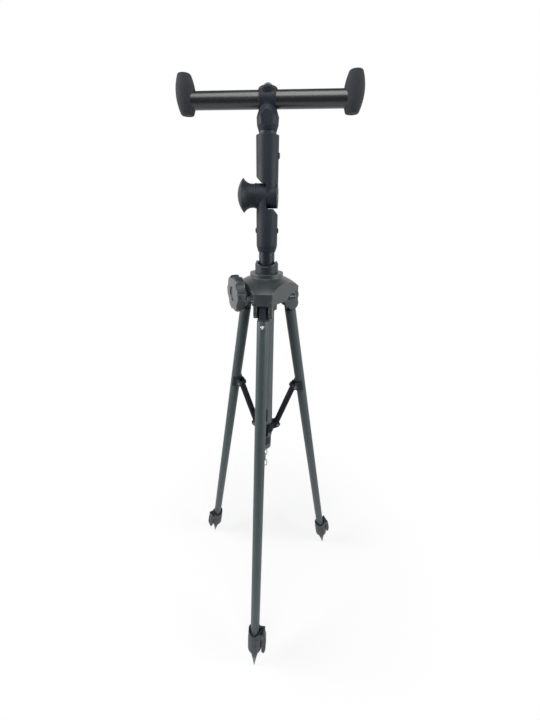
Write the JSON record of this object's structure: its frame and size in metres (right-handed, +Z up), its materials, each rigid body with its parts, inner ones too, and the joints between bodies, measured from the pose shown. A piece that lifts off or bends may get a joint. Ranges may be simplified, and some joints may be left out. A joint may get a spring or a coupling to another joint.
{
  "type": "rod rest tripod",
  "caption": "Tripod rod rest: padded cross bar on a tilting head, sliding column, folding braced legs with lever locks and ground spikes.",
  "frame": {"origin": "on the tripod axis, level with the tips of the three spikes", "axes": "+Z up along the column, +X along the cross bar to the right, -Y towards the front leg"},
  "size_m": [0.31, 0.262, 0.8993],
  "materials": {
    "hub_plastic": "satin moulded",
    "sleeve_plastic": "satin moulded",
    "black_plastic": "matte moulded",
    "knob_plastic": "satin moulded",
    "column_metal": "satin coated",
    "bright_chrome": "polished",
    "brass_insert": "turned",
    "steel": "plated",
    "bar_metal": "gloss anodised",
    "foam": "matte closed-cell foam",
    "brace_plastic": "satin moulded",
    "leg_metal": "satin coated",
    "inner_metal": "satin",
    "lock_plastic": "satin moulded",
    "spike_metal": "dull ground"
  },
  "bodies": {
    "hub": {"hub_body": "hub_plastic", "guide_tube": "leg_metal", "leg_pivot_bolts": "steel", "clamp_nut": "bright_chrome"},
    "collar": {"hub_collar": "sleeve_plastic"},
    "clamp": {"clamp_knob": "knob_plastic", "clamp_stud": "bright_chrome"},
    "column": {"column_tube": "column_metal", "column_plug": "black_plastic", "lower_tilt_sleeve": "sleeve_plastic", "lower_sleeve_rivet": "black_plastic"},
    "chain": {"hook_chain": "steel"},
    "arm": {"upper_tilt_sleeve": "sleeve_plastic", "upper_sleeve_rivet": "black_plastic", "tilt_bolt": "steel", "head_stem": "black_plastic", "head_body": "sleeve_plastic", "head_screw": "steel", "cross_bar": "bar_metal", "bar_end_plugs": "black_plastic", "left_bumper": "foam", "right_bumper": "foam"},
    "tilt_grip": {"tilt_knob": "knob_plastic", "tilt_nut": "brass_insert", "tilt_washer": "black_plastic"},
    "brace": {"brace_collar": "brace_plastic", "brace_pins": "steel"},
    "front_leg": {"front_knuckle": "brace_plastic", "front_leg_tube": "leg_metal", "front_bracket": "brace_plastic", "front_bracket_pin": "steel", "front_lock_collar": "lock_plastic", "front_lever_pin": "steel"},
    "front_lock": {"front_lever": "lock_plastic"},
    "front_foot": {"front_inner_tube": "inner_metal", "front_foot_cone": "lock_plastic", "front_spike": "spike_metal"},
    "front_brace": {"front_strut": "brace_plastic"},
    "right_leg": {"right_knuckle": "brace_plastic", "right_leg_tube": "leg_metal", "right_bracket": "brace_plastic", "right_bracket_pin": "steel", "right_lock_collar": "lock_plastic", "right_lever_pin": "steel"},
    "right_lock": {"right_lever": "lock_plastic"},
    "right_foot": {"right_inner_tube": "inner_metal", "right_foot_cone": "lock_plastic", "right_spike": "spike_metal"},
    "right_brace": {"right_strut": "brace_plastic"},
    "left_leg": {"left_knuckle": "brace_plastic", "left_leg_tube": "leg_metal", "left_bracket": "brace_plastic", "left_bracket_pin": "steel", "left_lock_collar": "lock_plastic", "left_lever_pin": "steel"},
    "left_lock": {"left_lever": "lock_plastic"},
    "left_foot": {"left_inner_tube": "inner_metal", "left_foot_cone": "lock_plastic", "left_spike": "spike_metal"},
    "left_brace": {"left_strut": "brace_plastic"}
  },
  "joints": [
    {"name": "collar_turn", "type": "hinge", "parent": "hub", "child": "collar", "pos_m": [0, 0, 0.71], "axis": [0, 0, 1], "range_deg": [-180, 180]},
    {"name": "column_slide", "type": "slide", "parent": "collar", "child": "column", "axis": [0, 0, 1], "range_m": [-0.014, 0.2]},
    {"name": "clamp_turn", "type": "hinge", "parent": "hub", "child": "clamp", "pos_m": [-0.02598, -0.015, 0.68], "axis": [-0.866, -0.5, 0], "range_deg": [0, 360]},
    {"name": "tilt", "type": "hinge", "parent": "column", "child": "arm", "pos_m": [0, 0, 0.791], "axis": [1, 0, 0], "range_deg": [-90, 90]},
    {"name": "tilt_knob_turn", "type": "hinge", "parent": "arm", "child": "tilt_grip", "pos_m": [-0.02, 0, 0.791], "axis": [-1, 0, 0], "range_deg": [0, 360]},
    {"name": "chain_swing", "type": "hinge", "parent": "column", "child": "chain", "pos_m": [0, 0, 0.39486], "axis": [1, 0, 0], "range_deg": [-10, 10]},
    {"name": "front_leg_fold", "type": "hinge", "parent": "hub", "child": "front_leg", "pos_m": [0, -0.033, 0.673], "axis": [1, 0, 0], "range_deg": [0, 11.27]},
    {"name": "front_leg_slide", "type": "slide", "parent": "front_leg", "child": "front_foot", "axis": [0, -0.1954, -0.9807], "range_m": [0, 0.32]},
    {"name": "front_lever_turn", "type": "hinge", "parent": "front_leg", "child": "front_lock", "pos_m": [0.015, -0.14952, 0.08826], "axis": [0, -0.9807, 0.1954], "range_deg": [0, 100]},
    {"name": "front_strut_turn", "type": "hinge", "parent": "front_leg", "child": "front_brace", "pos_m": [0, -0.05015, 0.51531], "axis": [1, 0, 0], "range_deg": [-35.85, 0]},
    {"name": "right_leg_fold", "type": "hinge", "parent": "hub", "child": "right_leg", "pos_m": [0.02858, 0.0165, 0.673], "axis": [-0.5, 0.866, 0], "range_deg": [0, 11.27]},
    {"name": "right_leg_slide", "type": "slide", "parent": "right_leg", "child": "right_foot", "axis": [0.1693, 0.0977, -0.9807], "range_m": [0, 0.32]},
    {"name": "right_lever_turn", "type": "hinge", "parent": "right_leg", "child": "right_lock", "pos_m": [0.14223, 0.08212, 0.0912], "axis": [0.5, -0.866, 0], "range_deg": [0, 100]},
    {"name": "right_strut_turn", "type": "hinge", "parent": "right_leg", "child": "right_brace", "pos_m": [0.04343, 0.02507, 0.51531], "axis": [-0.5, 0.866, 0], "range_deg": [-35.85, 0]},
    {"name": "left_leg_fold", "type": "hinge", "parent": "hub", "child": "left_leg", "pos_m": [-0.02858, 0.0165, 0.673], "axis": [-0.5, -0.866, 0], "range_deg": [0, 11.27]},
    {"name": "left_leg_slide", "type": "slide", "parent": "left_leg", "child": "left_foot", "axis": [-0.1693, 0.0977, -0.9807], "range_m": [0, 0.32]},
    {"name": "left_lever_turn", "type": "hinge", "parent": "left_leg", "child": "left_lock", "pos_m": [-0.1409, 0.06507, 0.08927], "axis": [-0.6271, 0.757, 0.1836], "range_deg": [0, 100]},
    {"name": "left_strut_turn", "type": "hinge", "parent": "left_leg", "child": "left_brace", "pos_m": [-0.04343, 0.02507, 0.51531], "axis": [-0.5, -0.866, 0], "range_deg": [-35.85, 0]},
    {"name": "brace_slide", "type": "slide", "parent": "hub", "child": "brace", "axis": [0, 0, -1], "range_m": [0, 0.0085]}
  ],
  "couplings": [
    {"joint": "front_strut_turn", "follows": "front_leg_fold", "ratio": -3.18},
    {"joint": "right_leg_fold", "follows": "front_leg_fold", "ratio": 1},
    {"joint": "right_strut_turn", "follows": "front_leg_fold", "ratio": -3.18},
    {"joint": "left_leg_fold", "follows": "front_leg_fold", "ratio": 1},
    {"joint": "left_strut_turn", "follows": "front_leg_fold", "ratio": -3.18},
    {"joint": "brace_slide", "follows": "front_leg_fold", "m_per_rad": 0.043212}
  ]
}
